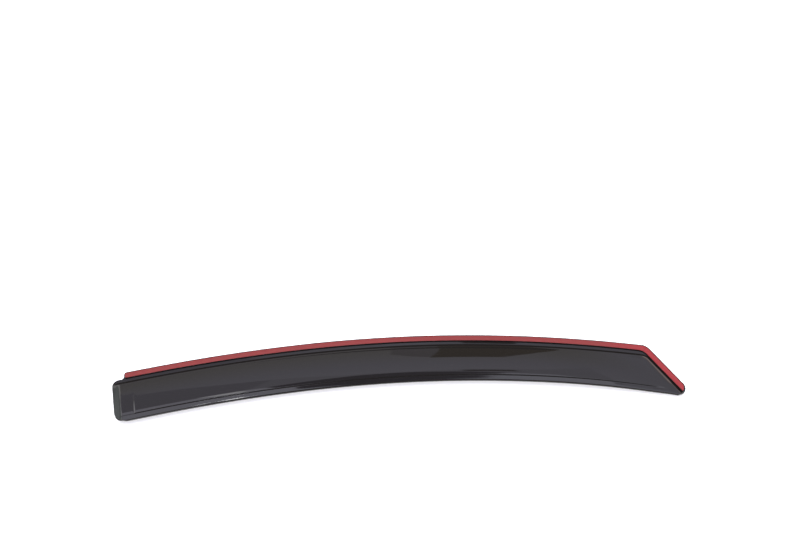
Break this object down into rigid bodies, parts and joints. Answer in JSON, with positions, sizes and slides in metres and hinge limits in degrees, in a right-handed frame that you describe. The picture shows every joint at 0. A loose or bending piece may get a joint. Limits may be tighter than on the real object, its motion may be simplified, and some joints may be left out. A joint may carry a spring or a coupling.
{
  "type": "window rain deflector",
  "caption": "Smoked acrylic side-window rain deflector: arched shell with taped channel flange, stepped crowned face, creased lip, sloping closed end and a long pointed end.",
  "frame": {"origin": "centre of the bounding box, at the bottom: the glass side of the flange lies on Z = 0", "axes": "+X runs along the chord of the top edge from the closed end to the pointed end, +Y points to the window's top edge, +Z points away from the glass, out of the car"},
  "size_m": [0.6878, 0.0968, 0.013],
  "materials": {
    "smoked_acrylic": "polished smoked acrylic, very dark and faintly see-through",
    "foam_tape": "dark closed-cell foam",
    "release_liner": "red satin film"
  },
  "bodies": {
    "root": {"visor_shell": "smoked_acrylic", "foam_tape_top": "foam_tape", "foam_tape_end": "foam_tape", "liner_top": "release_liner", "liner_end": "release_liner"}
  },
  "joints": []
}
